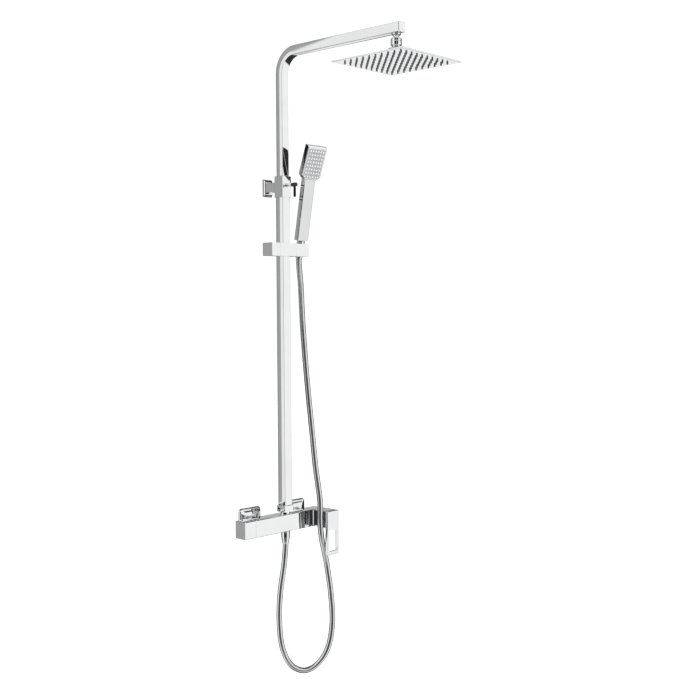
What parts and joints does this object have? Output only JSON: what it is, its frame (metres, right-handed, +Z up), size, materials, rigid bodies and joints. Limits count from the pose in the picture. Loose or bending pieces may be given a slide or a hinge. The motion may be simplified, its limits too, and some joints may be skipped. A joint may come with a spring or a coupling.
{
  "type": "rainfall shower column",
  "caption": "Square shower column: bar mixer with loop lever, telescopic riser bent into an arm, square rain head, handset on a sliding holder and a metal hose.",
  "frame": {"origin": "centre of the wall bracket's back face, on the wall", "axes": "+X to the right along the mixer bar, +Y into the wall, +Z up along the riser"},
  "size_m": [0.262, 0.5255, 1.4967],
  "materials": {
    "chrome": "polished",
    "steel": "fine brushed",
    "brass": "machined",
    "plastic": "moulded",
    "nozzle_rubber": "soft moulded silicone",
    "pale_rubber": "soft moulded silicone",
    "seal_rubber": "moulded"
  },
  "bodies": {
    "column": {"bracket_base": "steel", "base_screw_upper": "steel", "base_screw_lower": "steel", "bracket_cover": "chrome", "bracket_post": "chrome", "bracket_collar": "chrome", "lock_pad": "plastic", "lower_tube": "chrome", "mixer_body": "chrome", "mixing_cartridge": "plastic", "cartridge_nut": "brass", "diverter_cartridge": "plastic", "inlet_washer_left": "seal_rubber", "inlet_washer_right": "seal_rubber", "union_nut_left": "chrome", "union_nut_right": "chrome", "s_union_left": "chrome", "s_union_right": "chrome", "rosette_left": "chrome", "rosette_right": "chrome", "riser_neck": "chrome", "riser_washer": "seal_rubber", "riser_nut": "chrome", "outlet_nipple": "brass", "outlet_washer": "seal_rubber", "hose_nut_lower": "chrome", "shower_hose": "steel"},
    "telescope_lock": {"telescope_screw": "chrome", "telescope_lever": "chrome"},
    "rain_arm": {"upper_tube": "chrome", "arm_end_cap": "chrome", "tube_plug": "brass", "tube_seal": "seal_rubber", "swivel_ball": "chrome"},
    "swivel": {"swivel_seat": "plastic"},
    "rain_head": {"swivel_nut": "chrome", "swivel_ring": "chrome", "head_flange": "chrome", "head_back": "chrome", "head_face": "chrome", "head_nozzle_mat": "nozzle_rubber"},
    "valve_spindle": {"cartridge_spindle": "brass"},
    "lever": {"mixer_lever": "chrome", "lever_screw": "steel"},
    "diverter": {"diverter_knob": "chrome", "diverter_spindle": "brass", "knob_screw": "steel"},
    "slider": {"slider_body": "chrome", "slider_sleeve": "plastic", "clamp_pad": "seal_rubber", "holder_pin": "steel"},
    "slider_clamp": {"slider_knob": "chrome", "clamp_screw": "brass"},
    "holder": {"handset_holder": "chrome"},
    "handset": {"handset_shell": "chrome", "handset_face": "chrome", "handset_nozzle_mat": "pale_rubber", "handset_nipple": "brass", "hose_nut_upper": "chrome"}
  },
  "joints": [
    {"name": "riser_height", "type": "slide", "parent": "column", "child": "rain_arm", "axis": [0, 0, 1], "range_m": [-0.18, 0.15]},
    {"name": "head_tilt_side", "type": "hinge", "parent": "rain_arm", "child": "swivel", "pos_m": [0, -0.409, 0.2875], "axis": [0, 1, 0], "range_deg": [-10, 10]},
    {"name": "head_tilt_front", "type": "hinge", "parent": "swivel", "child": "rain_head", "pos_m": [0, -0.409, 0.2875], "axis": [1, 0, 0], "range_deg": [-10, 10]},
    {"name": "telescope_lock_turn", "type": "hinge", "parent": "column", "child": "telescope_lock", "pos_m": [0, -0.086, 0.003], "axis": [0, 1, 0], "range_deg": [0, 90]},
    {"name": "lever_temperature", "type": "hinge", "parent": "column", "child": "valve_spindle", "pos_m": [0.0975, -0.1125, -0.7995], "axis": [0, 1, 0], "range_deg": [-45, 45]},
    {"name": "lever_lift", "type": "hinge", "parent": "valve_spindle", "child": "lever", "pos_m": [0.0975, -0.1133, -0.779], "axis": [-1, 0, 0], "range_deg": [0, 20]},
    {"name": "diverter_turn", "type": "hinge", "parent": "column", "child": "diverter", "pos_m": [-0.128, -0.056, -0.7995], "axis": [1, 0, 0], "range_deg": [-90, 90]},
    {"name": "slider_height", "type": "slide", "parent": "column", "child": "slider", "axis": [0, 0, 1], "range_m": [-0.42, 0.09], "deforming": ["shower_hose"]},
    {"name": "slider_clamp_turn", "type": "hinge", "parent": "slider", "child": "slider_clamp", "pos_m": [-0.04, -0.056, -0.149], "axis": [1, 0, 0], "range_deg": [-90, 90]},
    {"name": "holder_tilt", "type": "hinge", "parent": "slider", "child": "holder", "pos_m": [0.03, -0.056, -0.149], "axis": [1, 0, 0], "range_deg": [-5, 25], "deforming": ["shower_hose"]},
    {"name": "handset_lift", "type": "slide", "parent": "holder", "child": "handset", "axis": [0, -0.1788, 0.9839], "range_m": [0, 0.05], "deforming": ["shower_hose"]}
  ]
}
